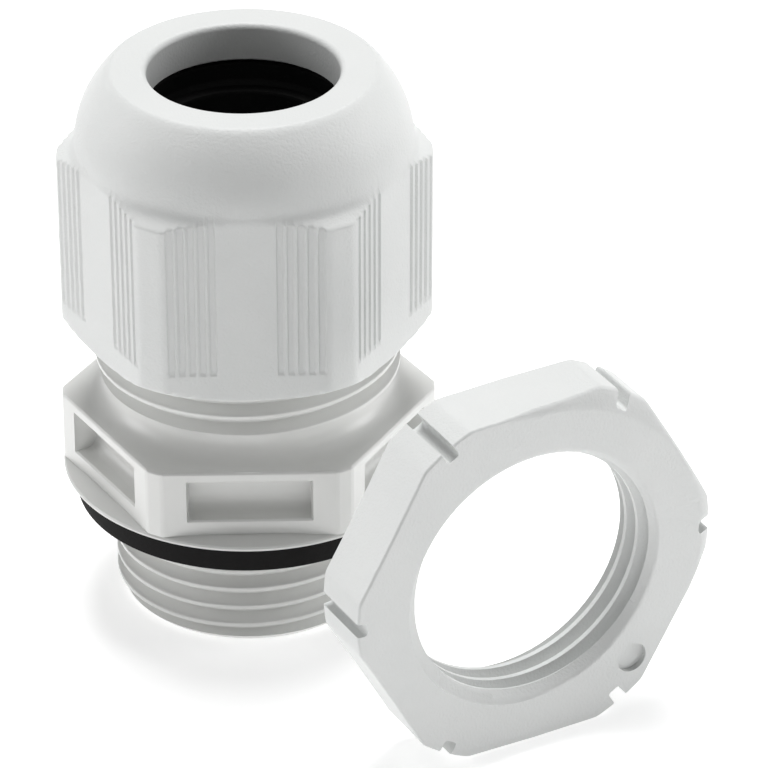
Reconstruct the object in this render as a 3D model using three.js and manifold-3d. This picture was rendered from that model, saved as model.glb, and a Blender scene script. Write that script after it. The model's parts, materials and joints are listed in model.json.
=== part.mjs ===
// Plastic cable gland M20 x 1.5 with its hexagonal locknut standing beside it.
//
// Millimetres, +Z up. The gland stands upright on the end of its connection
// thread; the locknut stands on one of its six flats in front of it, to the
// right. The origin is at the bottom centre of the whole model.

import * as THREE from 'three';
import { mergeVertices } from 'three/addons/utils/BufferGeometryUtils.js';
import Module from 'manifold-3d';

const wasm = await Module();
wasm.setup();

// ---- driving dimensions -----------------------------------------------------

const GAP = 0.3;                  // running gap between pieces that would touch
const PITCH = 1.5;                // both threads
const THREAD_DEPTH = 0.9;

const CONNECTION_R = 9.9;         // outside of the M20 connection thread
const CABLE_BORE_R = 7.3;         // way for the cable through the connection thread
const GASKET_R = 12.65;
const GASKET_LOW = 8.0;
const FLANGE_LOW = 10.2;
const FLANGE_TOP = 10.75;
const FLANGE_R = 13.55;

const BODY_FLATS = 24;            // spanner size of the body hexagon
const BODY_CORNER_R = 13.5;
const HEX_TOP = 15.8;
const POCKET = { width: 8.7, low: 11.9, high: 15.0, depth: 1.3 };
const NECK_R = 10.2;
const NECK_FILLET = 1.7;          // round between the hexagon's top and the neck
const NECK_TOP = 18.0;
const NUT_THREAD_R = 11.0;        // thread that the dome nut runs on
const RIM_TOP = 24.5;             // top of the threaded tube, where the fingers root
const SOCKET_R = 8.8;             // seat of the sealing insert
const SOCKET_FLOOR = 19.7;

const FINGERS = 16;
const FINGER_LENGTH = 10;
const FINGER_R = 10.0;            // outside of the crown of fingers at its root
const FINGER_TIP_R = 9.75;
const FINGER_ROOT_HALF = 1.6;     // half widths of one finger
const FINGER_TIP_HALF = 1.28;

const SEAL_R = 8.5;
const SEAL_BORE_R = 6.1;
const SEAL_LEDGE = 36.7;          // step inside the seal's collar
const SEAL_SHOULDER = 2.2;        // height of the slope from the bush to the collar
const SEAL_COLLAR_R = 7.3;
const SEAL_COLLAR_WALL = 0.6;
const SEAL_TOP = 38.3;

const NUT_FLATS = 24;
const NUT_CORNER_R = 13.27;
const NUT_LOW = 21.7;
const NUT_TOP = 41.6;
const NUT_BORE_R = NUT_THREAD_R + GAP;
const NUT_HOLE_R = 6.77;          // cable hole in the dome
const NUT_RING_R = 9.47;          // outer edge of the flat top ring
const LEDGE_Z = 35.7;             // where dome and hexagon corners meet
const CORNER_TIP_Z = 34.9;
const LIP = 2.8;                  // height of the lip around the cable hole
const CONE = 5.55;                // height of the inner cone that bends the fingers in
const RIB = { first: 2.0, pitch: 0.72, grooves: 5, width: 0.4, depth: 0.22, low: 23.8 };

// A turned blank: faceR is the edge of its flat faces, rimR its outside at the corners.
const LOCKNUT = { flats: 26.8, rimR: 14.4, faceR: 13.1, bevel: 0.8, thick: 5, holeR: 9.15 };
const NOTCH = { width: 1.2, floorR: 13.0 };               // across each locknut corner
const LOCKNUT_TURN = THREE.MathUtils.degToRad(27.4);
const LOCKNUT_FACE = new THREE.Vector3(19.6, -22.4, LOCKNUT.flats / 2);
const MARK = { r: 1.1, depth: 0.3, at: [7.9, -9.1] };     // round moulding mark

const ROUND = 48;                 // sides of a full circle
const THREAD_SIDES = 32;

// ---- colours ----------------------------------------------------------------

const finish = (color, roughness) =>
  new THREE.MeshStandardMaterial({ color, roughness, metalness: 0 });
const LIGHT_GREY = finish(0xd2d4d3, 0.5);
const GLOSSY_GREY = finish(0xcdd0d0, 0.35);
const BLACK_RUBBER = finish(0x1b1b1c, 0.7);

// ---- solids -----------------------------------------------------------------

// A manifold-3d solid from a closed three.js geometry.
function solid(geometry) {
  for (const name of Object.keys(geometry.attributes)) {
    if (name !== 'position') geometry.deleteAttribute(name);
  }
  const merged = mergeVertices(geometry, 1e-4);
  const corners = merged.index.array;
  const triangles = [];
  for (let i = 0; i < corners.length; i += 3) {
    const [a, b, c] = corners.slice(i, i + 3);
    if (a !== b && b !== c && c !== a) triangles.push(a, b, c);
  }
  return new wasm.Manifold(new wasm.Mesh({
    numProp: 3,
    vertProperties: merged.attributes.position.array,
    triVerts: new Uint32Array(triangles),
  }));
}

function toGeometry(made) {
  const mesh = made.getMesh();
  const geometry = new THREE.BufferGeometry();
  geometry.setAttribute('position', new THREE.BufferAttribute(mesh.vertProperties, 3));
  geometry.setIndex(new THREE.BufferAttribute(mesh.triVerts, 1));
  return geometry;
}

// Turned solid: a closed outline of [radius, height] points, anticlockwise.
function turned(outline, sides = ROUND) {
  const points = [...outline, outline[0]].map(([r, z]) => new THREE.Vector2(r, z));
  return solid(new THREE.LatheGeometry(points, sides).rotateX(Math.PI / 2));
}

// Upright prism over a flat outline of [x, y] points, anticlockwise.
function prism(outline, low, high) {
  const shape = new THREE.Shape(outline.map(([x, y]) => new THREE.Vector2(x, y)));
  const options = { depth: high - low, bevelEnabled: false };
  return solid(new THREE.ExtrudeGeometry(shape, options).translate(0, 0, low));
}

// Box by its middle and size, then turned about the Z axis.
function box(middle, size, turn = 0) {
  const geometry = new THREE.BoxGeometry(...size).translate(...middle);
  return solid(geometry.rotateZ(turn));
}

const polar = (r, angle) => [r * Math.cos(angle), r * Math.sin(angle)];
const sixths = [0, 1, 2, 3, 4, 5].map((k) => (k * Math.PI) / 3);

// Hexagonal prism, corners on the X axis, each corner cut off square at cornerR.
function hexagon(flats, cornerR, low, high) {
  const halfCut = 2 * (flats / 2 - cornerR * Math.cos(Math.PI / 6));
  const reach = Math.hypot(cornerR, halfCut);
  const off = Math.atan2(halfCut, cornerR);
  const outline = sixths.flatMap((corner) => [polar(reach, corner - off), polar(reach, corner + off)]);
  return prism(outline, low, high);
}

// Single-start right-hand screw, with trapezoid ridges from rootR out to crestR.
// It runs past both ends, so it is trimmed by a turned solid.
function screw(rootR, crestR, low, high) {
  const profile = [
    [rootR, 0], [rootR, 0.25 * PITCH], [crestR, 0.5 * PITCH], [crestR, 0.8 * PITCH],
  ];
  const steps = Math.ceil((high - low) / PITCH + 2) * THREAD_SIDES;
  const rows = profile.length;
  const start = low - 1.5 * PITCH;
  const positions = [];
  for (let i = 0; i <= steps; i += 1) {
    const angle = (2 * Math.PI * i) / THREAD_SIDES;
    for (const [r, up] of profile) {
      positions.push(...polar(r, angle), start + (PITCH * i) / THREAD_SIDES + up);
    }
  }
  const at = (i, row) => i * rows + row;
  const faces = [];
  const quad = (a, b, c, d) => faces.push(a, b, c, a, c, d);
  for (let i = 0; i < steps; i += 1) {
    for (let row = 0; row < rows - 1; row += 1) {
      quad(at(i, row), at(i + 1, row), at(i + 1, row + 1), at(i, row + 1));
    }
    if (i < steps - THREAD_SIDES) {
      const above = i + THREAD_SIDES;
      quad(at(i, rows - 1), at(i + 1, rows - 1), at(above + 1, 0), at(above, 0));
    }
  }
  // Both ends close with a fan to a point on the axis.
  const middle = positions.length / 3;
  positions.push(0, 0, start, 0, 0, start + (PITCH * steps) / THREAD_SIDES + PITCH);
  const fan = (loop, centre) => loop.forEach((from, k) => {
    faces.push(from, centre, loop[(k + 1) % loop.length]);
  });
  const turn = Array.from({ length: THREAD_SIDES + 1 }, (_, k) => k);
  const ridge = Array.from({ length: rows - 1 }, (_, k) => rows - 1 - k);
  fan([...turn.map((k) => at(k, 0)), ...ridge.map((row) => at(0, row))], middle);
  const last = turn.map((k) => at(steps - k, rows - 1));
  fan([...last, ...ridge.map((row) => at(steps, rows - 1 - row))], middle + 1);
  const geometry = new THREE.BufferGeometry();
  geometry.setAttribute('position', new THREE.Float32BufferAttribute(positions, 3));
  geometry.setIndex(faces);
  return solid(geometry);
}

// ---- gland body -------------------------------------------------------------

function glandBody() {
  const chamfer = 0.8;
  const envelopeR = CONNECTION_R + 0.1;
  const rootR = CONNECTION_R - THREAD_DEPTH;
  const connection = screw(rootR, CONNECTION_R, 0, FLANGE_LOW)
    .intersect(turned([
      [0, 0], [CONNECTION_R - chamfer, 0], [envelopeR, chamfer + 0.1],
      [envelopeR, FLANGE_LOW - 1], [rootR, FLANGE_LOW - 0.1],
      [rootR, FLANGE_LOW + 0.2], [0, FLANGE_LOW + 0.2],
    ]));
  const nutThread = screw(NUT_THREAD_R - THREAD_DEPTH, NUT_THREAD_R, NECK_TOP, RIM_TOP)
    .intersect(turned([
      [0, NECK_TOP - 0.2], [NECK_R - 0.15, NECK_TOP - 0.2], [NUT_THREAD_R + 0.1, NECK_TOP + 0.6],
      [NUT_THREAD_R + 0.1, RIM_TOP - chamfer], [NUT_THREAD_R - chamfer, RIM_TOP], [0, RIM_TOP],
    ]));
  const flange = turned([
    [0, FLANGE_LOW], [FLANGE_R - 0.1, FLANGE_LOW], [FLANGE_R, FLANGE_LOW + 0.1],
    [FLANGE_R, FLANGE_TOP - 0.25], [FLANGE_R - 0.6, FLANGE_TOP], [0, FLANGE_TOP],
  ]);
  const fillet = [0, 0.25, 0.5, 0.75, 1].map((t) => {
    const angle = (t * Math.PI) / 2;
    const inward = 1 - Math.sin(angle);
    return [NECK_R + NECK_FILLET * inward, HEX_TOP + NECK_FILLET * (1 - Math.cos(angle))];
  });
  const neck = turned([[0, HEX_TOP - 0.2], [NECK_R + NECK_FILLET, HEX_TOP - 0.2],
    ...fillet, [NECK_R, NECK_TOP], [0, NECK_TOP]]);
  let hex = hexagon(BODY_FLATS, BODY_CORNER_R, FLANGE_TOP - 0.1, HEX_TOP);
  const pocketMiddle = (POCKET.low + POCKET.high) / 2;
  for (const corner of sixths) {
    const across = BODY_FLATS / 2 - POCKET.depth / 2 + 0.5;
    const size = [POCKET.depth + 1, POCKET.width, POCKET.high - POCKET.low];
    hex = hex.subtract(box([across, 0, pocketMiddle], size, corner + Math.PI / 6));
  }
  const hollow = turned([
    [0, -1], [CABLE_BORE_R, -1], [CABLE_BORE_R, SOCKET_FLOOR], [SOCKET_R, SOCKET_FLOOR],
    [SOCKET_R, RIM_TOP + 1], [0, RIM_TOP + 1],
  ]);
  return connection.add(flange).add(hex).add(neck).add(nutThread).subtract(hollow);
}

// ---- clamping fingers -------------------------------------------------------

// One finger of the crown, on the +X side; its root faces the body's rim.
function clampFinger() {
  const low = RIM_TOP + GAP;
  const high = low + FINGER_LENGTH;
  const ring = turned([
    [SOCKET_R, low], [FINGER_R, low], [FINGER_TIP_R, high - 0.4],
    [FINGER_TIP_R - 0.4, high], [SOCKET_R, high],
  ]);
  const shape = new THREE.Shape([
    new THREE.Vector2(-FINGER_ROOT_HALF, low - 1), new THREE.Vector2(FINGER_ROOT_HALF, low - 1),
    new THREE.Vector2(FINGER_TIP_HALF, high + 1), new THREE.Vector2(-FINGER_TIP_HALF, high + 1),
  ]);
  const slab = new THREE.ExtrudeGeometry(shape, { depth: FINGER_R, bevelEnabled: false });
  slab.rotateX(Math.PI / 2).rotateZ(Math.PI / 2).translate(1, 0, 0);
  return ring.intersect(solid(slab));
}

// ---- soft pieces ------------------------------------------------------------

function sealingInsert() {
  const low = SOCKET_FLOOR + GAP;
  const collarOut = SEAL_COLLAR_R + SEAL_COLLAR_WALL;
  return turned([
    [SEAL_BORE_R, low], [SEAL_R, low], [SEAL_R, SEAL_LEDGE - SEAL_SHOULDER],
    [collarOut, SEAL_LEDGE], [collarOut, SEAL_TOP], [SEAL_COLLAR_R, SEAL_TOP],
    [SEAL_COLLAR_R, SEAL_LEDGE], [SEAL_BORE_R, SEAL_LEDGE],
  ]);
}

function connectionGasket() {
  const inner = CONNECTION_R + GAP;
  const high = FLANGE_LOW - GAP;
  return turned([
    [inner, GASKET_LOW], [GASKET_R, GASKET_LOW], [GASKET_R, high], [inner, high],
  ]);
}

// ---- dome nut ---------------------------------------------------------------

function domeNut() {
  const half = NUT_FLATS / 2;
  const baseR = half - 0.05;
  // The dome is one arc, upright at the ledge, up to the flat ring's edge.
  const rise = NUT_TOP - LEDGE_Z;
  const run = baseR - NUT_RING_R;
  const domeR = (run * run + rise * rise) / (2 * run);
  const full = Math.asin(rise / domeR);
  const dome = [0, 1, 2, 3, 4, 5].map((k) => {
    const angle = (full * k) / 5;
    return [baseR - domeR * (1 - Math.cos(angle)), LEDGE_Z + domeR * Math.sin(angle)];
  });
  const lipLow = NUT_TOP - LIP;
  const coneLow = lipLow - CONE;
  const shell = turned([
    [NUT_BORE_R, NUT_LOW], [half + 0.3, NUT_LOW], [half + 2, NUT_LOW + 0.9],
    [half + 2, CORNER_TIP_Z - 0.35], ...dome,
    [NUT_HOLE_R + 0.4, NUT_TOP], [NUT_HOLE_R, NUT_TOP - 0.4], [NUT_HOLE_R, lipLow],
    [SEAL_COLLAR_R + SEAL_COLLAR_WALL + 0.05, lipLow], [NUT_BORE_R - GAP, coneLow],
    [NUT_BORE_R, coneLow - 0.55],
  ]);
  let nut = shell.intersect(hexagon(NUT_FLATS, NUT_CORNER_R, NUT_LOW - 1, NUT_TOP + 1));
  // Two groups of upright grooves on each flat, one by each corner.
  for (const corner of sixths) {
    for (let k = 0; k < RIB.grooves; k += 1) {
      const off = RIB.first + RIB.pitch * (k + 0.5);
      for (const side of [-off, off]) {
        const x = half + 0.5 - RIB.depth;
        const middle = [x, side, (RIB.low + LEDGE_Z) / 2];
        const size = [1, RIB.width, LEDGE_Z - RIB.low];
        nut = nut.subtract(box(middle, size, corner + Math.PI / 6));
      }
    }
  }
  return nut;
}

// ---- locknut ----------------------------------------------------------------

// Made flat on its back face, axis along Z, corners on the X axis.
function locknut() {
  const { flats, rimR, faceR, bevel, thick, holeR } = LOCKNUT;
  const blank = turned([
    [0, 0], [faceR, 0], [rimR, bevel], [rimR, thick - bevel], [faceR, thick], [0, thick],
  ]);
  const sharpCorner = flats / Math.sqrt(3);
  let nut = blank.intersect(hexagon(flats, sharpCorner - 0.1, -1, thick + 1));
  const mouth = turned([
    [0, -1], [holeR + THREAD_DEPTH, -1], [holeR + THREAD_DEPTH, 0], [holeR, THREAD_DEPTH],
    [holeR, thick - 0.6], [holeR + 0.6, thick], [holeR + 0.6, thick + 1], [0, thick + 1],
  ]);
  nut = nut.subtract(screw(holeR, holeR + THREAD_DEPTH, 0, thick)).subtract(mouth);
  for (const corner of sixths) {
    const reach = 10;
    const middle = [NOTCH.floorR + reach / 2, 0, thick / 2];
    nut = nut.subtract(box(middle, [reach, NOTCH.width, thick + 2], corner));
  }
  const mark = new THREE.CylinderGeometry(MARK.r, MARK.r, 2 * MARK.depth, 20).rotateX(Math.PI / 2);
  return nut.subtract(solid(mark.translate(...MARK.at, thick)));
}

// ---- assembly ---------------------------------------------------------------

function piece(name, made, material) {
  const mesh = new THREE.Mesh(toGeometry(made), material);
  mesh.name = name;
  return mesh;
}

const gland = new THREE.Group();
gland.add(piece('gland_body', glandBody(), GLOSSY_GREY));
gland.add(piece('sealing_insert', sealingInsert(), BLACK_RUBBER));
gland.add(piece('connection_gasket', connectionGasket(), BLACK_RUBBER));
gland.add(piece('dome_nut', domeNut(), LIGHT_GREY));
const finger = clampFinger();
for (let k = 0; k < FINGERS; k += 1) {
  const number = String(k + 1).padStart(2, '0');
  const mesh = piece(`clamp_finger_${number}`, finger, GLOSSY_GREY);
  mesh.rotation.z = (2 * Math.PI * k) / FINGERS;
  gland.add(mesh);
}

const loose = piece('locknut', locknut(), LIGHT_GREY);
const across = new THREE.Vector3(Math.cos(LOCKNUT_TURN), Math.sin(LOCKNUT_TURN), 0);
const out = new THREE.Vector3(Math.sin(LOCKNUT_TURN), -Math.cos(LOCKNUT_TURN), 0);
const basis = new THREE.Matrix4().makeBasis(across, new THREE.Vector3(0, 0, 1), out);
loose.quaternion.setFromRotationMatrix(basis);
loose.position.copy(LOCKNUT_FACE).addScaledVector(out, -LOCKNUT.thick);

const part = new THREE.Group();
part.add(gland, loose);
part.updateMatrixWorld(true);
const whole = new THREE.Box3().setFromObject(part, true);
const middle = whole.getCenter(new THREE.Vector3());
part.position.set(-middle.x, -middle.y, -whole.min.z);

export default part;
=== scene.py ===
# %% [markdown]
# # A plastic cable gland and its locknut
#
# A cable gland holds a cable where it enters an enclosure and keeps water out.
# Its body screws into the wall, and a dome nut presses a crown of fingers and a
# rubber seal around the cable. A hexagonal locknut goes on from the inside.
#
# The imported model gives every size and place. Here each piece is made again
# with the roundings, threads and surfaces that a moulded part shows, in
# millimetres around its own axis, and is brought to metres at the end.

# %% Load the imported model
import json
import math
from functools import cache

import bmesh
import bpy
from mathutils import Matrix, Vector

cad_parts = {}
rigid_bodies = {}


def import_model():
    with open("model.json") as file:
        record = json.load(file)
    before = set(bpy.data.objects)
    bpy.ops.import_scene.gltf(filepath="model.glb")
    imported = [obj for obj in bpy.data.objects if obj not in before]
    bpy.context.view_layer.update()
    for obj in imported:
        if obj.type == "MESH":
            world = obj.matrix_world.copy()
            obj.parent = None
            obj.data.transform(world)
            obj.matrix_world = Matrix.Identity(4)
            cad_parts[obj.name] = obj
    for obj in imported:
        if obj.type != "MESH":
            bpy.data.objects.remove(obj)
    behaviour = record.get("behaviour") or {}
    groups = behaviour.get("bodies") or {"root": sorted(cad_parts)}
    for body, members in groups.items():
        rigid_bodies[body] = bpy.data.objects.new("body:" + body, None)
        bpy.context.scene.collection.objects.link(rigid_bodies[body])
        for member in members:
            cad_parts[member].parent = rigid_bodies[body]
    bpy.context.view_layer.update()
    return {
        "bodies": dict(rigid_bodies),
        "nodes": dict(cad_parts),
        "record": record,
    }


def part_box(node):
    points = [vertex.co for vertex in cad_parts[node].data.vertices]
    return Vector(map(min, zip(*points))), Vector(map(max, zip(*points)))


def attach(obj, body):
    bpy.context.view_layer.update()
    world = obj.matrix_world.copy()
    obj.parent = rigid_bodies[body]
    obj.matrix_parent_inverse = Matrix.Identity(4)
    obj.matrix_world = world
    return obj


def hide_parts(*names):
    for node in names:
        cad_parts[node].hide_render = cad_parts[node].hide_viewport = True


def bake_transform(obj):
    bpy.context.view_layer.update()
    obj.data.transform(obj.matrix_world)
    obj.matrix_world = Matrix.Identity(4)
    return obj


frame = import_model()
bpy.ops.object.select_all(action="DESELECT")
MM = 0.001
WELD = 0.001
FINE_WELD = 0.0005


def box_mm(node):
    """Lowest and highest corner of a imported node, in millimetres."""
    low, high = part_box(node)
    return low / MM, high / MM


mounts = {m["name"]: m for m in frame["record"]["mounts"]}

# %% [markdown]
# ## The sizes
#
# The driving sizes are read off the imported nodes' boxes, so a piece can't drift
# away from the body it rides on. What a box can't tell, such as the pitch of
# the thread, is a value of its own, as a maker would write it on a drawing.

# %% Driving sizes in millimetres
body_low, body_high = box_mm("gland_body")
nut_low, nut_high = box_mm("dome_nut")
seal_low, seal_high = box_mm("sealing_insert")
gasket_low, gasket_high = box_mm("connection_gasket")
locknut_low, locknut_high = box_mm("locknut")

ROUND_STEPS = 128
AXIS = Vector(((body_low.x + body_high.x) / 2, (body_low.y + body_high.y) / 2, 0))
PITCH = 1.5
NUT_HALF_FLAT = (nut_high.y - nut_low.y) / 2
NUT_CORNER = (nut_high.x - nut_low.x) / 2
NUT_LOW = nut_low.z
NUT_TOP = nut_high.z
FLANGE_R = (body_high.x - body_low.x) / 2
RIM_TOP = body_high.z
GASKET_R = (gasket_high.x - gasket_low.x) / 2
print(f"nut {2 * NUT_HALF_FLAT:.1f} mm across flats, top at {NUT_TOP:.1f} mm")

# %% [markdown]
# ## Camera
#
# The camera comes first, because every later choice is judged through it. A
# long lens from about a third of a metre keeps the upright edges nearly
# parallel, which suits a small part.

# %% Camera
VIEW_TILT = math.radians(30.42)
VIEW_TURN = math.radians(1.65)
VIEW_DISTANCE = 334.8
LENS = 216.5
FRAME_WIDTH = 36
aim = AXIS + Vector((9.8, 0, 15.85))
sight = Vector((
    math.sin(VIEW_TURN) * math.cos(VIEW_TILT),
    math.cos(VIEW_TURN) * math.cos(VIEW_TILT),
    -math.sin(VIEW_TILT),
))
camera_data = bpy.data.cameras.new("studio_camera")
camera_data.lens = LENS
camera_data.sensor_width = FRAME_WIDTH
camera_data.clip_start = 0.01
camera = bpy.data.objects.new("studio_camera", camera_data)
bpy.context.scene.collection.objects.link(camera)
camera.location = (aim - sight * VIEW_DISTANCE) * MM
camera.rotation_euler = sight.to_track_quat("-Z", "Y").to_euler()
bpy.context.scene.camera = camera
print("camera at", [round(v, 3) for v in camera.location])

# %% [markdown]
# ## Tools for modelling by hand
#
# Most pieces of a gland are turned shapes. Each starts as an outline that is
# drawn point by point, by extruding one vertex, and is spun about the axis.
# Booleans join and cut the closed solids, and every modifier is applied.

# %% Outline, spin and finish
def select_only(obj):
    bpy.ops.object.select_all(action="DESELECT")
    obj.select_set(True)
    bpy.context.view_layer.objects.active = obj


def draw_outline(name, points):
    """A wire in the XZ plane through [radius, height] points, drawn from one vertex."""
    bpy.ops.object.select_all(action="DESELECT")
    bpy.ops.mesh.primitive_plane_add(size=1)
    obj = bpy.context.active_object
    obj.name = obj.data.name = name
    bpy.ops.object.mode_set(mode="EDIT")
    bpy.ops.mesh.select_mode(type="VERT")
    bpy.ops.mesh.merge(type="CENTER")
    here = Vector((points[0][0], 0, points[0][1]))
    bpy.ops.transform.translate(value=here)
    for r, z in points[1:]:
        there = Vector((r, 0, z))
        step = {"value": there - here}
        bpy.ops.mesh.extrude_region_move(TRANSFORM_OT_translate=step)
        here = there
    bpy.ops.object.mode_set(mode="OBJECT")
    return obj


def spin_outline(obj, arcs):
    """Spins the wire about Z through (angle, steps) arcs that make a full turn."""
    select_only(obj)
    bpy.ops.object.mode_set(mode="EDIT")
    bpy.ops.mesh.select_all(action="SELECT")
    for angle, steps in arcs:
        bpy.ops.mesh.spin(steps=steps, angle=angle, center=(0, 0, 0), axis=(0, 0, 1))
    tidy_shell()


def tidy_shell(distance=FINE_WELD):
    """In edit mode: merges doubles, drops stray edges and turns every face outwards."""
    bpy.ops.mesh.select_all(action="SELECT")
    bpy.ops.mesh.remove_doubles(threshold=distance)
    bpy.ops.mesh.delete_loose()
    bpy.ops.mesh.select_all(action="SELECT")
    bpy.ops.mesh.normals_make_consistent(inside=False)
    bpy.ops.object.mode_set(mode="OBJECT")


def turned(name, points, steps=96):
    """A closed turned solid: the outline's last point joins its first."""
    obj = draw_outline(name, [*points, points[0]])
    spin_outline(obj, [(2 * math.pi, steps)])
    return obj


def apply_modifier(obj, kind, **settings):
    select_only(obj)
    modifier = obj.modifiers.new(kind.lower(), kind)
    for key, value in settings.items():
        setattr(modifier, key, value)
    bpy.ops.object.modifier_apply(modifier=modifier.name)


def combine(obj, tool, how):
    """Joins, cuts or keeps the common part of two closed solids; the tool goes."""
    apply_modifier(obj, "BOOLEAN", operation=how, solver="EXACT", object=tool)
    bpy.data.objects.remove(tool)


def smooth(obj, degrees=35):
    """Soft shading over roundings, crisp over edges, flats kept flat."""
    select_only(obj)
    bpy.ops.object.shade_smooth_by_angle(angle=math.radians(degrees))
    apply_modifier(obj, "WEIGHTED_NORMAL", keep_sharp=True, weight=80)


def place(obj, where, turn=None):
    """From millimetres about its own axis to metres at its place in the frame."""
    size = Matrix.Diagonal((MM, MM, MM, 1))
    turn = turn or Matrix.Identity(4)
    obj.data.transform(Matrix.Translation(where * MM) @ turn @ size)
    faces = len(obj.data.polygons)
    print(f"{obj.name}: {faces} faces")


def arc(centre, radius, start, end, count):
    """Points on an arc, angles in degrees from the outward direction, upwards."""
    angles = [math.radians(start + (end - start) * k / count) for k in range(count + 1)]
    return [(centre[0] + radius * math.cos(a), centre[1] + radius * math.sin(a)) for a in angles]


# %% [markdown]
# ## Materials
#
# The grey pieces are polyamide 6, coloured in the mass and injection moulded.
# The dome nut and the locknut come out of a spark-eroded mould, which leaves an
# even, dull grain; the body's mould is polished, so it shows soft highlights.
# The seal and the gasket are moulded black rubber, which reflects very little.

# %% Colour and node helpers
def srgb(code):
    """'#rrggbb' to the linear colour that the shader works in."""
    parts = [int(code[i:i + 2], 16) / 255 for i in (1, 3, 5)]
    linear = [c / 12.92 if c <= 0.04045 else ((c + 0.055) / 1.055) ** 2.4 for c in parts]
    return (*linear, 1)


def add_node(tree, kind, settings=None, links=None):
    """Adds one node: settings name inputs or properties, links name inputs."""
    node = tree.nodes.new(kind)
    for key, value in (settings or {}).items():
        if key in node.inputs:
            node.inputs[key].default_value = value
        else:
            setattr(node, key, value)
    for key, source in (links or {}).items():
        tree.links.new(source, node.inputs[key])
    return node


def grain_scale(size_mm):
    """Noise scale whose grains are about size_mm across, on coordinates in metres."""
    return 1 / (size_mm * MM)


# %% Moulded polyamide and rubber
def moulded(name, light, dark, roughness, spread, grain_mm, grain_depth, wave_depth):
    """Plastic or rubber from a mould: faint cloudiness, grain and slow waviness."""
    material = bpy.data.materials.new(name)
    material.use_nodes = True
    tree = material.node_tree
    shader = tree.nodes["Principled BSDF"]
    place_on = add_node(tree, "ShaderNodeTexCoord").outputs["Object"]
    cloud = add_node(tree, "ShaderNodeTexNoise", {"Scale": grain_scale(5), "Detail": 3},
                     {"Vector": place_on})
    colour = add_node(tree, "ShaderNodeMix", {"data_type": "RGBA"})
    colour.inputs[6].default_value = srgb(dark)
    colour.inputs[7].default_value = srgb(light)
    tree.links.new(cloud.outputs["Fac"], colour.inputs[0])
    tree.links.new(colour.outputs[2], shader.inputs["Base Color"])
    grain = add_node(tree, "ShaderNodeTexNoise", {"Scale": grain_scale(grain_mm), "Detail": 2},
                     {"Vector": place_on})
    dull = add_node(tree, "ShaderNodeMapRange",
                    {"To Min": roughness - spread, "To Max": roughness + spread},
                    {"Value": grain.outputs["Fac"]})
    tree.links.new(dull.outputs["Result"], shader.inputs["Roughness"])
    wave = add_node(tree, "ShaderNodeTexNoise", {"Scale": grain_scale(2.5), "Detail": 1},
                    {"Vector": place_on})
    slow = add_node(tree, "ShaderNodeBump", {"Strength": 1, "Distance": wave_depth * MM},
                    {"Height": wave.outputs["Fac"]})
    fine = add_node(tree, "ShaderNodeBump", {"Strength": 1, "Distance": grain_depth * MM},
                    {"Height": grain.outputs["Fac"], "Normal": slow.outputs["Normal"]})
    tree.links.new(fine.outputs["Normal"], shader.inputs["Normal"])
    shader.inputs["IOR"].default_value = 1.53
    return material


RUBBER_SPECULAR = 0.2
# An even, dull grain that breaks the light up: no mirror, only a soft sheen.
GRAINED_GREY = moulded("polyamide_spark_grain", "#d9dad9", "#d2d4d3", 0.52, 0.06,
                       grain_mm=0.2, grain_depth=0.032, wave_depth=0.02)
# Nearly smooth, so edges and fillets carry soft highlights.
POLISHED_GREY = moulded("polyamide_polished_mould", "#dfdfdd", "#d9dad8", 0.30, 0.03,
                        grain_mm=0.3, grain_depth=0.002, wave_depth=0.03)
# Matt black, deep inside the hole.
SEAL_BLACK = moulded("rubber_seal_moulded", "#0e0e0d", "#0a0a0a", 0.66, 0.1,
                     grain_mm=0.2, grain_depth=0.02, wave_depth=0.05)
# Matt black with a fine cut grain.
GASKET_BLACK = moulded("rubber_gasket_cut", "#0c0b0b", "#090808", 0.8, 0.06,
                       grain_mm=0.15, grain_depth=0.012, wave_depth=0.02)
for rubber in (SEAL_BLACK, GASKET_BLACK):
    sockets = rubber.node_tree.nodes["Principled BSDF"].inputs
    sockets["Specular IOR Level"].default_value = RUBBER_SPECULAR


def dress(obj, material):
    obj.data.materials.clear()
    obj.data.materials.append(material)


# %% [markdown]
# ## Hexagon with soft corners
#
# The nuts are turned shapes that a hexagon trims. A boolean would leave slivers
# where the hexagon meets the dome, so each spun vertex is drawn in to the
# hexagon instead. A soft minimum in place of a hard one gives every edge the
# small rounding that a mould has, and the faces stay even quads.

# %% Soft minimum and hexagon radius
def soft_min(values, sharpness):
    """The least of the values, rounded where two of them are close."""
    least = min(values)
    total = sum(math.exp(-sharpness * (v - least)) for v in values)
    return least - math.log(total) / sharpness


@cache
def hexagon_radius(angle, half_flat, corner, sharpness):
    """Distance from the axis to a hexagon with its corners cut off, corners on X."""
    sides = [(half_flat, math.pi / 6 + k * math.pi / 3) for k in range(6)]
    sides += [(corner, k * math.pi / 3) for k in range(6)]
    reach = [d / math.cos(angle - a) for d, a in sides if math.cos(angle - a) > 0.5]
    return soft_min(reach, sharpness)


def across_flat(angle, radius):
    """How far a point lies from the middle of its flat, along the flat."""
    to_middle = (angle - math.pi / 6) % (math.pi / 3)
    if to_middle > math.pi / 6:
        to_middle -= math.pi / 3
    return radius * math.sin(to_middle)


def fade(value, low, high):
    """0 below low, 1 above high, smooth between."""
    t = min(1, max(0, (value - low) / (high - low)))
    return t * t * (3 - 2 * t)


# %% [markdown]
# ## Dome nut
#
# The nut's outline is one closed line: up the outside, over the sloping ledge
# at the corners, along the dome's arc, across the flat ring, down the cable
# hole and back down the inner cone that closes the fingers. It is spun in
# arcs: many fine steps where a flat carries grip grooves, few where it's plain.

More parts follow.
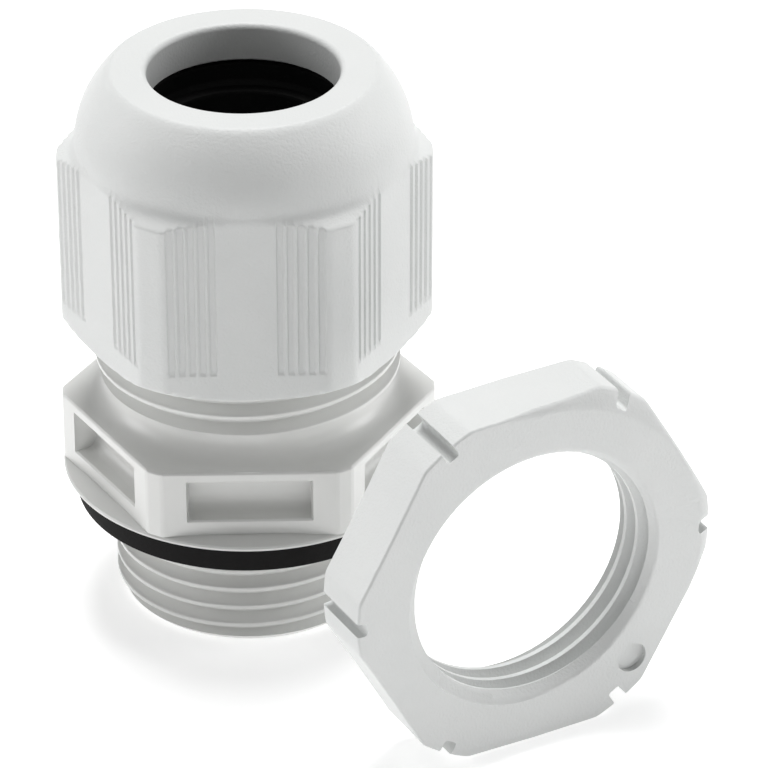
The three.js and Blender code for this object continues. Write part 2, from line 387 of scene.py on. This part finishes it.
# %% Dome nut outline
RIB_FIRST = 2.0
RIB_PITCH = 0.72
RIB_COUNT = 5
RIB_LAST = RIB_FIRST + RIB_COUNT * RIB_PITCH
RIB_LOW = 23.8
CORNER_STEPS = 12
MIDDLE_STEPS = 5
RIB_DEPTH = 0.14
RIDGE_HALF = 0.06
RIDGE_FOOT = 0.2
LEDGE_Z = 35.7
LEDGE_FOOT = 34.5
LEDGE_BLEND = 0.6
RING_R = 9.47
HOLE_R = 6.77
LIP_LOW = NUT_TOP - 2.8
BORE_R = 11.3
DOME_BASE_R = NUT_HALF_FLAT
DOME_EDGE_Z = LEDGE_Z - 0.25
DOME_EDGE_R = DOME_BASE_R + 0.55
DOME_STEPS = 26
LEDGE_STEP = 0.13
LEDGE_POINTS = 13
LIP_ROUND = 0.45
CONE_TOP_R = 7.95
CONE_LOW_R = 11.03
CONE_HEIGHT = 5.55
WALL_HEIGHTS = (22.5, 22.9, 23.4, 23.6, 23.75, 23.9, 24.1, 24.4, 26, 28.5, 31, 33, 34, 34.3)
CORNER_SHARPNESS = 11
EDGE_SHARPNESS = 14


def dome_nut_outline():
    rise = NUT_TOP - LEDGE_Z
    run = DOME_BASE_R - RING_R
    radius = (run * run + rise * rise) / (2 * run)
    full = math.degrees(math.asin(rise / radius))
    first = math.degrees(math.asin(LEDGE_BLEND / radius))
    dome = arc((DOME_BASE_R - radius, LEDGE_Z), radius, first, full - 2.5, DOME_STEPS)
    foot, meet = Vector((DOME_EDGE_R, DOME_EDGE_Z)), Vector((DOME_BASE_R, LEDGE_Z))
    head = Vector(dome[0])
    blend = [foot.lerp(meet, t).lerp(meet.lerp(head, t), t) for t in (0, 0.2, 0.4, 0.6, 0.8)]
    wall_r = NUT_CORNER + 0.9
    wall = [(wall_r, z) for z in WALL_HEIGHTS]
    slope = (DOME_EDGE_Z - LEDGE_FOOT) / (wall_r - DOME_EDGE_R)
    ledge = [(wall_r - LEDGE_STEP * k, LEDGE_FOOT + slope * LEDGE_STEP * k)
             for k in range(LEDGE_POINTS)]
    lip = arc((HOLE_R + LIP_ROUND, NUT_TOP - LIP_ROUND), LIP_ROUND, 90, 180, 6)
    return [
        (BORE_R + 0.1, NUT_LOW + 0.15), (BORE_R + 0.25, NUT_LOW), (NUT_HALF_FLAT - 0.2, NUT_LOW),
        (NUT_HALF_FLAT + 0.1, NUT_LOW + 0.02), (NUT_HALF_FLAT + 0.5, NUT_LOW + 0.15),
        (NUT_HALF_FLAT + 0.9, NUT_LOW + 0.35), (NUT_HALF_FLAT + 1.3, NUT_LOW + 0.6),
        *wall, *ledge, *[tuple(point) for point in blend], *dome,
        (RING_R + 0.05, NUT_TOP - 0.12), (RING_R - 0.08, NUT_TOP - 0.03),
        (RING_R - 0.25, NUT_TOP), (RING_R - 0.8, NUT_TOP), (HOLE_R + 1, NUT_TOP),
        *lip, (HOLE_R, NUT_TOP - 0.8), (HOLE_R, NUT_TOP - 1.8), (HOLE_R, LIP_LOW + 0.1),
        (HOLE_R + 0.1, LIP_LOW), (CONE_TOP_R, LIP_LOW), (CONE_LOW_R, LIP_LOW - CONE_HEIGHT),
        (BORE_R, LIP_LOW - 6.1),
        (BORE_R, LIP_LOW - 8), (BORE_R, NUT_LOW + 4), (BORE_R, NUT_LOW + 0.5),
    ]


print("outline points:", len(dome_nut_outline()))

# %% Spin it and draw it in to the hexagon
def side_arcs():
    """One side of the hexagon, corner to corner, with steps on every ridge's edges."""
    steps = [(RIB_LAST, CORNER_STEPS)]
    for k in range(RIB_COUNT, -1, -1):
        ridge = RIB_FIRST + k * RIB_PITCH
        steps += [(ridge + RIDGE_FOOT, 1), (ridge + RIDGE_HALF, 2),
                  (ridge - RIDGE_HALF, 1), (ridge - RIDGE_FOOT, 2)]
    steps = [steps[0], *steps[3:-2], (0, MIDDLE_STEPS)]
    angle = math.pi / 6
    arcs = []
    for off, count in steps:
        reach = math.atan2(off, NUT_HALF_FLAT)
        arcs.append((angle - reach, count))
        angle = reach
    return [*arcs, *reversed(arcs)]


def groove_depth(off, height):
    """Depth of the grip grooves at a place on a flat."""
    if not RIB_FIRST < off < RIB_LAST:
        return 0
    along = (off - RIB_FIRST) % RIB_PITCH
    from_ridge = min(along, RIB_PITCH - along)
    floor = fade(from_ridge, RIDGE_HALF, RIDGE_FOOT)
    return RIB_DEPTH * floor * fade(height, RIB_LOW - 0.2, RIB_LOW + 0.2)


def draw_in_nut(co):
    radius = math.hypot(co.x, co.y)
    in_hole = radius < HOLE_R + 0.5
    in_bore = radius < BORE_R + 0.02 and co.z < LIP_LOW + 0.01
    if in_hole or in_bore:
        return co
    angle = round(math.atan2(co.y, co.x), 5)
    hexagon = hexagon_radius(angle, NUT_HALF_FLAT, NUT_CORNER, CORNER_SHARPNESS)
    hexagon -= groove_depth(abs(across_flat(angle, hexagon)), co.z)
    wanted = soft_min([radius, hexagon], EDGE_SHARPNESS)
    return Vector((co.x * wanted / radius, co.y * wanted / radius, co.z))


def make_dome_nut():
    points = dome_nut_outline()
    obj = draw_outline("dome_nut_shell", [*points, points[0]])
    spin_outline(obj, side_arcs() * 6)
    for vertex in obj.data.vertices:
        vertex.co = draw_in_nut(vertex.co)
    smooth(obj, 34)
    place(obj, AXIS)
    dress(obj, GRAINED_GREY)
    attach(obj, "dome_nut")
    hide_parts("dome_nut")


make_dome_nut()

# %% [markdown]
# ## Screw threads
#
# A thread is one pitch of its profile, carried up a helix. The screw modifier
# does that: it turns the short outline and lifts it by the pitch, and repeats.
# The helix runs past both ends of the thread, its open ends are closed to the
# axis, and a turned envelope then trims it, which leaves the run-outs that a
# real thread has.

# %% A closed helical screw
THREAD_STEPS = 72


def screw(name, profile, low, high):
    """Solid screw; profile is one pitch of (radius, share of the pitch) points."""
    turns = math.ceil((high - low) / PITCH) + 2
    start = low - 1.2 * PITCH
    points = [(r, start + share * PITCH) for r, share in profile]
    points.append((profile[0][0], start + PITCH))
    obj = draw_outline(name, points)
    apply_modifier(obj, "SCREW", axis="Z", angle=2 * math.pi, screw_offset=PITCH,
                   iterations=turns, steps=THREAD_STEPS, render_steps=THREAD_STEPS,
                   use_merge_vertices=False)
    select_only(obj)
    bpy.ops.object.mode_set(mode="EDIT")
    bpy.ops.mesh.select_all(action="SELECT")
    bpy.ops.mesh.remove_doubles(threshold=WELD)
    middle = start + PITCH * (turns + 1) / 2
    for is_end in (lambda z: z < middle, lambda z: z > middle):
        bpy.ops.mesh.select_all(action="DESELECT")
        shape = bmesh.from_edit_mesh(obj.data)
        for edge in shape.edges:
            if edge.is_boundary and is_end(edge.verts[0].co.z):
                edge.select_set(True)
        bmesh.update_edit_mesh(obj.data)
        bpy.ops.mesh.extrude_region()
        bpy.ops.mesh.merge(type="CENTER")
    tidy_shell(WELD)
    return obj


def trimmed(obj, envelope):
    combine(obj, envelope, "INTERSECT")
    return obj


# %% [markdown]
# ## Gland body
#
# One moulding: connection thread, thin flange, hexagon with a window-like
# pocket in each flat that saves material, a waist with a wide fillet, and the
# thread for the dome nut. Each portion is a closed solid of its own, and they
# are joined and then bored, as the mould's core would leave them.

# %% Threads of the body
CONNECTION_R = 9.9
NUT_THREAD_R = 11.0
DEPTH = 0.92
FLANGE_LOW = gasket_high.z + 0.3
FLANGE_TOP = FLANGE_LOW + 0.55
HEX_TOP = 15.8
NECK_R = 10.15
NECK_TOP = 18.0
NECK_FILLET = 1.75
OVERLAP = 0.3
BORE_LOW_R = 7.3
BORE_MOUTH_R = 7.9
CROWN_R = 8.8
CROWN_FLOOR = 19.7


def thread_profile(crest_r, depth):
    """Rounded trapezoid of a moulded outer thread."""
    root = crest_r - depth
    return [
        (root, 0), (root, 0.12), (root + 0.08, 0.17), (crest_r - 0.12, 0.42),
        (crest_r - 0.03, 0.47), (crest_r, 0.53), (crest_r, 0.62), (crest_r - 0.03, 0.68),
        (crest_r - 0.12, 0.73), (root + 0.08, 0.95),
    ]


def make_connection_thread():
    root = CONNECTION_R - DEPTH
    envelope = turned("connection_envelope", [
        (0, 0), (root + 0.15, 0), (CONNECTION_R - 0.05, 0.75), (CONNECTION_R + 0.2, 1.1),
        (CONNECTION_R + 0.2, FLANGE_LOW - 1.0), (root, FLANGE_LOW - 0.5),
        (root, FLANGE_LOW + 0.2), (0, FLANGE_LOW + 0.2),
    ])
    thread = screw("connection_thread", thread_profile(CONNECTION_R, DEPTH), 0, FLANGE_LOW)
    return trimmed(thread, envelope)


def make_nut_thread():
    envelope = turned("nut_thread_envelope", [
        (0, NECK_TOP - 0.4), (NECK_R - 0.1, NECK_TOP - 0.4), (NECK_R, NECK_TOP - 0.1),
        (NUT_THREAD_R + 0.2, NECK_TOP + 0.35), (NUT_THREAD_R + 0.2, RIM_TOP - 0.9),
        (NUT_THREAD_R - 0.7, RIM_TOP), (0, RIM_TOP),
    ])
    thread = screw("nut_thread", thread_profile(NUT_THREAD_R, DEPTH), NECK_TOP, RIM_TOP)
    return trimmed(thread, envelope)


# %% Hexagon with pockets
HEX_HALF = 12.0
HEX_CORNER = 13.5
HEX_ROUND = 0.22
POCKET_WIDTH = 8.7
POCKET_LOW = 11.9
POCKET_HIGH = 15.0
POCKET_DEPTH = 1.7
POCKET_FLOOR_ROUND = 0.8
POCKET_ROOF_ROUND = 0.35
POCKET_BACKING = 0.4
RIM_CHAMFER = 0.12


def select_edges(obj, wanted):
    """In edit mode: selects only the edges whose two ends pass the test."""
    bpy.ops.mesh.select_mode(type="EDGE")
    bpy.ops.mesh.select_all(action="DESELECT")
    shape = bmesh.from_edit_mesh(obj.data)
    for edge in shape.edges:
        if wanted(edge.verts[0].co, edge.verts[1].co):
            edge.select_set(True)
    bmesh.update_edit_mesh(obj.data)


def upright(a, b):
    return abs(a.z - b.z) > 0.5 and math.hypot(a.x - b.x, a.y - b.y) < 0.01


def hexagonal_bar(name, half_flat, corner, low, high, rounding):
    """Hexagonal prism with cut corners and rounded edges, corners on X."""
    bpy.ops.object.select_all(action="DESELECT")
    bpy.ops.mesh.primitive_cylinder_add(
        vertices=6, radius=2 * half_flat / math.sqrt(3), depth=high - low,
        location=(0, 0, (low + high) / 2), rotation=(0, 0, math.pi / 6))
    obj = bpy.context.active_object
    obj.name = obj.data.name = name
    bpy.ops.object.transform_apply(location=True, rotation=True, scale=True)
    bpy.ops.object.mode_set(mode="EDIT")
    cut = 4 * (half_flat - corner * math.cos(math.pi / 6))
    select_edges(obj, upright)
    bpy.ops.mesh.bevel(offset_type="WIDTH", offset=cut, segments=1)
    bpy.ops.mesh.select_all(action="SELECT")
    bpy.ops.mesh.bevel(offset_type="OFFSET", offset=rounding, segments=3, affect="EDGES")
    tidy_shell()
    return obj


def extruded(name, points, width):
    """Solid bar, width long, along Y over an outline in the XZ plane."""
    obj = draw_outline(name, points)
    select_only(obj)
    bpy.ops.object.mode_set(mode="EDIT")
    bpy.ops.mesh.select_all(action="SELECT")
    bpy.ops.mesh.edge_face_add()
    bpy.ops.transform.translate(value=(0, -width / 2, 0))
    bpy.ops.mesh.extrude_region_move(TRANSFORM_OT_translate={"value": (0, width, 0)})
    tidy_shell()
    return obj


def around_six(obj, first_turn):
    """Six copies of a cutter around the axis, the first one turned by first_turn."""
    select_only(obj)
    bpy.ops.object.mode_set(mode="EDIT")
    bpy.ops.mesh.select_all(action="SELECT")
    centre = {"orient_axis": "Z", "center_override": (0, 0, 0)}
    bpy.ops.transform.rotate(value=first_turn, **centre)
    for _ in range(5):
        bpy.ops.mesh.duplicate()
        bpy.ops.transform.rotate(value=math.pi / 3, **centre)
    tidy_shell()


def pocket_cutter():
    """Six blocks: a wide round at the inner lower edge and a flare at the rim."""
    inner = HEX_HALF - POCKET_DEPTH
    outer = HEX_HALF + 1
    rim = HEX_HALF - RIM_CHAMFER
    flare = outer - rim
    half = POCKET_WIDTH / 2
    low_r, top_r = POCKET_FLOOR_ROUND, POCKET_ROOF_ROUND
    obj = extruded("pocket_cutter", [
        (outer, POCKET_LOW - flare), (rim, POCKET_LOW),
        *arc((inner + low_r, POCKET_LOW + low_r), low_r, 270, 180, 7),
        *arc((inner + top_r, POCKET_HIGH - top_r), top_r, 180, 90, 3),
        (rim, POCKET_HIGH), (outer, POCKET_HIGH + flare),
    ], POCKET_WIDTH)
    select_only(obj)
    bpy.ops.object.mode_set(mode="EDIT")
    select_edges(obj, lambda a, b: abs(a.y - b.y) < 0.01 and max(a.x, b.x) < outer - 0.01)
    bpy.ops.mesh.bevel(offset_type="OFFSET", offset=0.1, segments=2)
    select_edges(obj, lambda a, b: min(a.x, b.x) > outer - 0.01)
    bpy.ops.transform.resize(value=(1, (half + flare) / half, 1))
    bpy.ops.object.mode_set(mode="OBJECT")
    around_six(obj, math.pi / 6)
    return obj


def make_body_hexagon():
    bar = hexagonal_bar("body_hexagon", HEX_HALF, HEX_CORNER, FLANGE_TOP - OVERLAP, HEX_TOP,
                        HEX_ROUND)
    combine(bar, pocket_cutter(), "DIFFERENCE")
    return bar


# %% Join the portions and bore them
def make_gland_body():
    core_r = HEX_HALF - POCKET_DEPTH - POCKET_BACKING
    fillet_r = NECK_R + NECK_FILLET
    fillet = arc((fillet_r, HEX_TOP + NECK_FILLET), NECK_FILLET, 270, 180, 12)
    flange_edge = [
        (FLANGE_R - 0.12, FLANGE_LOW), (FLANGE_R, FLANGE_LOW + 0.1), (FLANGE_R, FLANGE_LOW + 0.22),
        (FLANGE_R - 0.1, FLANGE_LOW + 0.34), (FLANGE_R - 1.2, FLANGE_TOP),
    ]
    core = turned("gland_body_shell", [
        (0, FLANGE_LOW), *flange_edge, (core_r, FLANGE_TOP), (core_r, HEX_TOP - OVERLAP),
        (fillet_r, HEX_TOP - OVERLAP), *fillet, (NECK_R, NECK_TOP + 0.1), (0, NECK_TOP + 0.1),
    ], ROUND_STEPS)
    combine(core, make_body_hexagon(), "UNION")
    combine(core, make_connection_thread(), "UNION")
    combine(core, make_nut_thread(), "UNION")
    bore = turned("body_bore", [
        (0, -1), (BORE_MOUTH_R, -1), (BORE_LOW_R, 0.5), (BORE_LOW_R, CROWN_FLOOR),
        (CROWN_R, CROWN_FLOOR), (CROWN_R, RIM_TOP - 0.3), (CROWN_R + 0.3, RIM_TOP),
        (CROWN_R + 0.3, RIM_TOP + 1), (0, RIM_TOP + 1),
    ])
    combine(core, bore, "DIFFERENCE")
    select_only(core)
    bpy.ops.object.mode_set(mode="EDIT")
    bpy.ops.mesh.select_all(action="SELECT")
    bpy.ops.mesh.remove_doubles(threshold=WELD)
    bpy.ops.mesh.select_all(action="SELECT")
    bpy.ops.mesh.dissolve_degenerate(threshold=WELD)
    bpy.ops.mesh.select_all(action="SELECT")
    bpy.ops.mesh.fill_holes(sides=8)
    tidy_shell()
    smooth(core, 32)
    place(core, AXIS)
    dress(core, POLISHED_GREY)
    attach(core, "gland_body")
    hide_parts("gland_body")


make_gland_body()

# %% [markdown]
# ## Gasket and sealing insert
#
# The gasket is a flat rubber ring with slightly bulging edges. The sealing
# insert is one rubber bush, whose bore closes as the fingers bend. Its bore
# has to close as the fingers bend, and a piece can bend between two bodies
# only, so the bush is made as equal sectors, one behind each finger, that meet
# without a seam at rest.

# %% Gasket
def make_gasket():
    inner = CONNECTION_R + 0.15
    low, high = gasket_low.z, FLANGE_LOW - 0.02
    soft = 0.2
    obj = turned("connection_gasket_ring", [
        (inner, low + 0.1), (inner + 0.1, low), (GASKET_R - 0.8, low),
        *arc((GASKET_R - soft, low + soft), soft, 270, 360, 4),
        (GASKET_R + 0.05, (low + high) / 2),
        *arc((GASKET_R - soft, high - soft), soft, 0, 90, 4),
        (inner + 0.1, high), (inner, high - 0.1),
    ], ROUND_STEPS)
    smooth(obj, 40)
    place(obj, AXIS)
    dress(obj, GASKET_BLACK)
    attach(obj, "gland_body")
    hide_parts("connection_gasket")


make_gasket()

# %% Sectors of the sealing insert
FINGERS = [name for name in frame["bodies"] if name.startswith("clamp_finger")]
SECTOR = 2 * math.pi / len(FINGERS)
SEAL_R = (seal_high.x - seal_low.x) / 2
SEAL_LEDGE = 36.7


def seal_outline():
    low, top = seal_low.z, seal_high.z
    bore, collar = 6.1, 7.3
    inner = [(bore, z) for z in (34, 31, 28, 26, 25, 24, 22)]
    outer = [(SEAL_R, z) for z in (22, 24, 25, 26, 28, 31)]
    return [
        (bore + 0.3, low), (SEAL_R - 0.3, low), (SEAL_R, low + 0.3), *outer,
        (SEAL_R, SEAL_LEDGE - 2.2), (collar + 0.62, SEAL_LEDGE - 0.2), (collar + 0.62, top - 0.15),
        (collar + 0.5, top), (collar + 0.1, top), (collar, top - 0.1),
        (collar - 0.05, SEAL_LEDGE + 0.35), (collar - 0.35, SEAL_LEDGE + 0.03),
        (bore + 0.45, SEAL_LEDGE), (bore + 0.12, SEAL_LEDGE - 0.1), (bore, SEAL_LEDGE - 0.4),
        *inner, (bore, low + 0.3),
    ]


def make_seal_sector(number, finger):
    points = seal_outline()
    obj = draw_outline(f"seal_sector_{number:02d}", [*points, points[0]])
    select_only(obj)
    bpy.ops.object.mode_set(mode="EDIT")
    bpy.ops.mesh.select_all(action="SELECT")
    bpy.ops.mesh.remove_doubles(threshold=WELD)
    bpy.ops.mesh.select_all(action="SELECT")
    bpy.ops.mesh.spin(steps=6, angle=SECTOR, center=(0, 0, 0), axis=(0, 0, 1))
    bpy.ops.mesh.select_all(action="DESELECT")
    bpy.ops.mesh.select_non_manifold()
    bpy.ops.mesh.edge_face_add()
    tidy_shell()
    middle = sum((v.co for v in obj.data.vertices), Vector()) / len(obj.data.vertices)
    low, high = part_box(finger)
    wanted = (low + high) / 2 / MM - AXIS
    turn = math.atan2(wanted.y, wanted.x) - math.atan2(middle.y, middle.x)
    smooth(obj, 40)
    place(obj, AXIS, Matrix.Rotation(turn, 4, "Z"))
    dress(obj, SEAL_BLACK)
    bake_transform(obj)
    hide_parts("sealing_insert")


for number, finger in enumerate(FINGERS, 1):
    make_seal_sector(number, finger)

# %% [markdown]
# ## Clamping fingers
#
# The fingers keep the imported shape, which is already right: they are hidden
# inside the dome nut. They only take the body's finish.

# %% Finish of the fingers
for finger in FINGERS:
    node = frame["nodes"][finger]
    node.data.materials.clear()
    node.data.materials.append(POLISHED_GREY)

# %% [markdown]
# ## Locknut
#
# A flat hexagonal nut made from a round blank, so its corners are parts of a
# cylinder. A slot crosses each corner, and the front falls away a little at two
# of them. It is spun like the dome nut and drawn in to its hexagon, lying flat,
# then slotted and threaded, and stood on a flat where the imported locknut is.

# %% Locknut blank
LOCKNUT_HALF = (locknut_high.z - locknut_low.z) / 2
LOCKNUT_RIM = 14.4
LOCKNUT_ROUND = 0.2
FOLD_R = 13.35
FOLD_MIDDLE = Vector((0.0, -0.5))
FOLD_NOMINAL = 12.6
FRONT_FALL = 0.5
LEFT_EASE = 0.45
BLANK_SHARPNESS = 24
FLAT_SHARPNESS = 40
LOCKNUT_THICK = 5.0
LOCKNUT_HOLE = 9.15
SLOT_HALF = 0.52
SLOT_FLOOR = 13.2
SLOT_ROUND = 0.25
SLOT_FLARE = 0.9
MARK_PLACE = (8.0, -9.15)
MARK_R = 1.15
MARK_DEPTH = 0.4


def locknut_outline():
    rim, soft, thick, hole = LOCKNUT_RIM, LOCKNUT_ROUND, LOCKNUT_THICK, LOCKNUT_HOLE
    return [
        (hole + 1.1, 0), (hole + 2, 0), (FOLD_NOMINAL, 0),
        *arc((rim - soft, soft), soft, 270, 360, 4), (rim, thick / 2),
        *arc((rim - soft, thick - soft), soft, 0, 90, 4), (FOLD_NOMINAL, thick),
        (hole + 2, thick), (hole + 0.85, thick), (hole + 0.68, thick - 0.04),
        (hole + 0.55, thick - 0.14), (hole, thick - 0.65), (hole, thick / 2),
        (hole, 0.9), (hole + 0.8, 0.1), (hole + 0.95, 0.02),
    ]


def locknut_arcs():
    """Corner to corner steps, close together where a flat turns into the rim."""
    half = [(6, 3), (5, 8), (19, 4)]
    return [(math.radians(angle), count) for angle, count in [*half, *reversed(half)]]


def draw_in_locknut(co):
    """Moves a turned point in to the hexagon; the front falls away at two corners."""
    radius = math.hypot(co.x, co.y)
    if radius < LOCKNUT_HOLE + 1.9:
        return co
    angle = round(math.atan2(co.y, co.x), 5)
    toward = Vector((math.cos(angle), math.sin(angle)))
    hexagon = hexagon_radius(angle, LOCKNUT_HALF, 2 * LOCKNUT_RIM, FLAT_SHARPNESS)
    edge = soft_min([LOCKNUT_RIM, hexagon], BLANK_SHARPNESS)
    edge -= LEFT_EASE * max(0, -toward.x)
    fold = FOLD_R + FOLD_MIDDLE.dot(toward)
    wanted, z = radius, co.z
    if abs(radius - FOLD_NOMINAL) < 0.01:
        wanted = min(fold, edge - 1.5 * LOCKNUT_ROUND)
    elif radius > FOLD_NOMINAL:
        wanted = edge - (LOCKNUT_RIM - radius)
    if z > LOCKNUT_THICK / 2 + 0.1:
        turn = math.degrees(angle)
        window = fade(turn, -28, -12) * (1 - fade(turn, 88, 104))
        z -= FRONT_FALL * window * max(0, wanted - fold)
    return Vector((toward.x * wanted, toward.y * wanted, z))


# %% Slots, round mark and thread of the locknut
def slot_cutter():
    """Six bars across the rim, rounded at the floor and flared at the corners."""
    floor, half, rim, soft, flare = SLOT_FLOOR, SLOT_HALF, LOCKNUT_RIM, SLOT_ROUND, SLOT_FLARE
    obj = extruded("slot_cutter", [
        *arc((floor + soft, half - soft), soft, 180, 90, 4), (rim - 0.2, half),
        (rim + 1, half + flare), (rim + 1, -half - flare), (rim - 0.2, -half),
        *arc((floor + soft, soft - half), soft, 270, 180, 4),
    ], LOCKNUT_THICK + 2)
    select_only(obj)
    bpy.ops.object.mode_set(mode="EDIT")
    bpy.ops.mesh.select_all(action="SELECT")
    bpy.ops.transform.rotate(value=math.pi / 2, orient_axis="X", center_override=(0, 0, 0))
    bpy.ops.transform.translate(value=(0, 0, LOCKNUT_THICK / 2))
    bpy.ops.object.mode_set(mode="OBJECT")
    around_six(obj, 0)
    return obj


def mark_cutter():
    bpy.ops.object.select_all(action="DESELECT")
    bpy.ops.mesh.primitive_cylinder_add(
        vertices=40, radius=MARK_R, depth=2 * MARK_DEPTH, location=(*MARK_PLACE, LOCKNUT_THICK))
    bpy.ops.object.transform_apply(location=True, rotation=True, scale=True)
    return bpy.context.active_object


def make_locknut():
    points = locknut_outline()
    obj = draw_outline("locknut_hexagon", [*points, points[0]])
    spin_outline(obj, locknut_arcs() * 6)
    for vertex in obj.data.vertices:
        vertex.co = draw_in_locknut(vertex.co)
    combine(obj, slot_cutter(), "DIFFERENCE")
    combine(obj, mark_cutter(), "DIFFERENCE")
    profile = thread_profile(LOCKNUT_HOLE + 0.88, 0.98)
    cutter = screw("locknut_thread_cutter", profile, -1, LOCKNUT_THICK + 1)
    combine(obj, cutter, "DIFFERENCE")
    smooth(obj, 40)
    return obj


# %% Stand the locknut in its place
def stand_locknut(obj):
    seat = Vector(mounts["locknut_seat"]["axis"])
    edge = Vector(mounts["locknut_edge"]["pos_m"]) / MM
    front = -seat.normalized()
    across = Vector((0, 0, 1)).cross(front)
    turn = Matrix((across, (0, 0, 1), front)).transposed().to_4x4()
    back_middle = edge + Vector((0, 0, LOCKNUT_HALF)) - front * LOCKNUT_THICK / 2
    place(obj, back_middle, turn)
    dress(obj, GRAINED_GREY)
    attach(obj, "locknut")
    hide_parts("locknut")


stand_locknut(make_locknut())

# %% [markdown]
# ## Floor and light
#
# One box stands at each side and a larger one hangs above and behind, as in a
# light tent: the sides and the top ring get most of the light, the front stays
# a quiet mid grey. The white paper lies on a light table, which fills the
# undersides and thins the shadows, and a small weak lamp in front gives the
# polished neck its glint.

# %% Floor and light
bpy.ops.mesh.primitive_plane_add(size=6, location=(0, 0, 0))
floor = bpy.context.active_object
floor.name = "studio_floor"
paper = bpy.data.materials.new("white_paper")
paper.use_nodes = True
sheet = paper.node_tree.nodes["Principled BSDF"].inputs
sheet["Base Color"].default_value = srgb("#f0f0f0")
sheet["Roughness"].default_value = 0.9
sheet["Emission Color"].default_value = (1, 1, 1, 1)
sheet["Emission Strength"].default_value = 0.5
floor.data.materials.append(paper)


def soft_box(name, where, size, power):
    """A square lamp in metres and watts that faces the gland's foot."""
    light = bpy.data.lights.new(name, "AREA")
    light.shape = "SQUARE"
    light.size = size
    light.energy = power
    lamp = bpy.data.objects.new(name, light)
    bpy.context.scene.collection.objects.link(lamp)
    lamp.location = where
    lamp.rotation_euler = (Vector(AXIS * MM) - Vector(where)).to_track_quat("-Z", "Y").to_euler()


soft_box("left_box", where=(-0.62, 0.06, 0.16), size=0.3, power=1.15)
soft_box("right_box", where=(0.62, 0.06, 0.16), size=0.3, power=1.4)
soft_box("top_box", where=(0.0, 0.21, 0.66), size=0.35, power=4.6)
soft_box("front_spot", where=(0.02, -0.42, 0.46), size=0.03, power=0.06)
world = bpy.data.worlds.new("studio")
bpy.context.scene.world = world
world.use_nodes = True
world.node_tree.nodes["Background"].inputs["Color"].default_value = (1, 1, 1, 1)
world.node_tree.nodes["Background"].inputs["Strength"].default_value = 0.19
bpy.context.scene.view_settings.view_transform = "Standard"
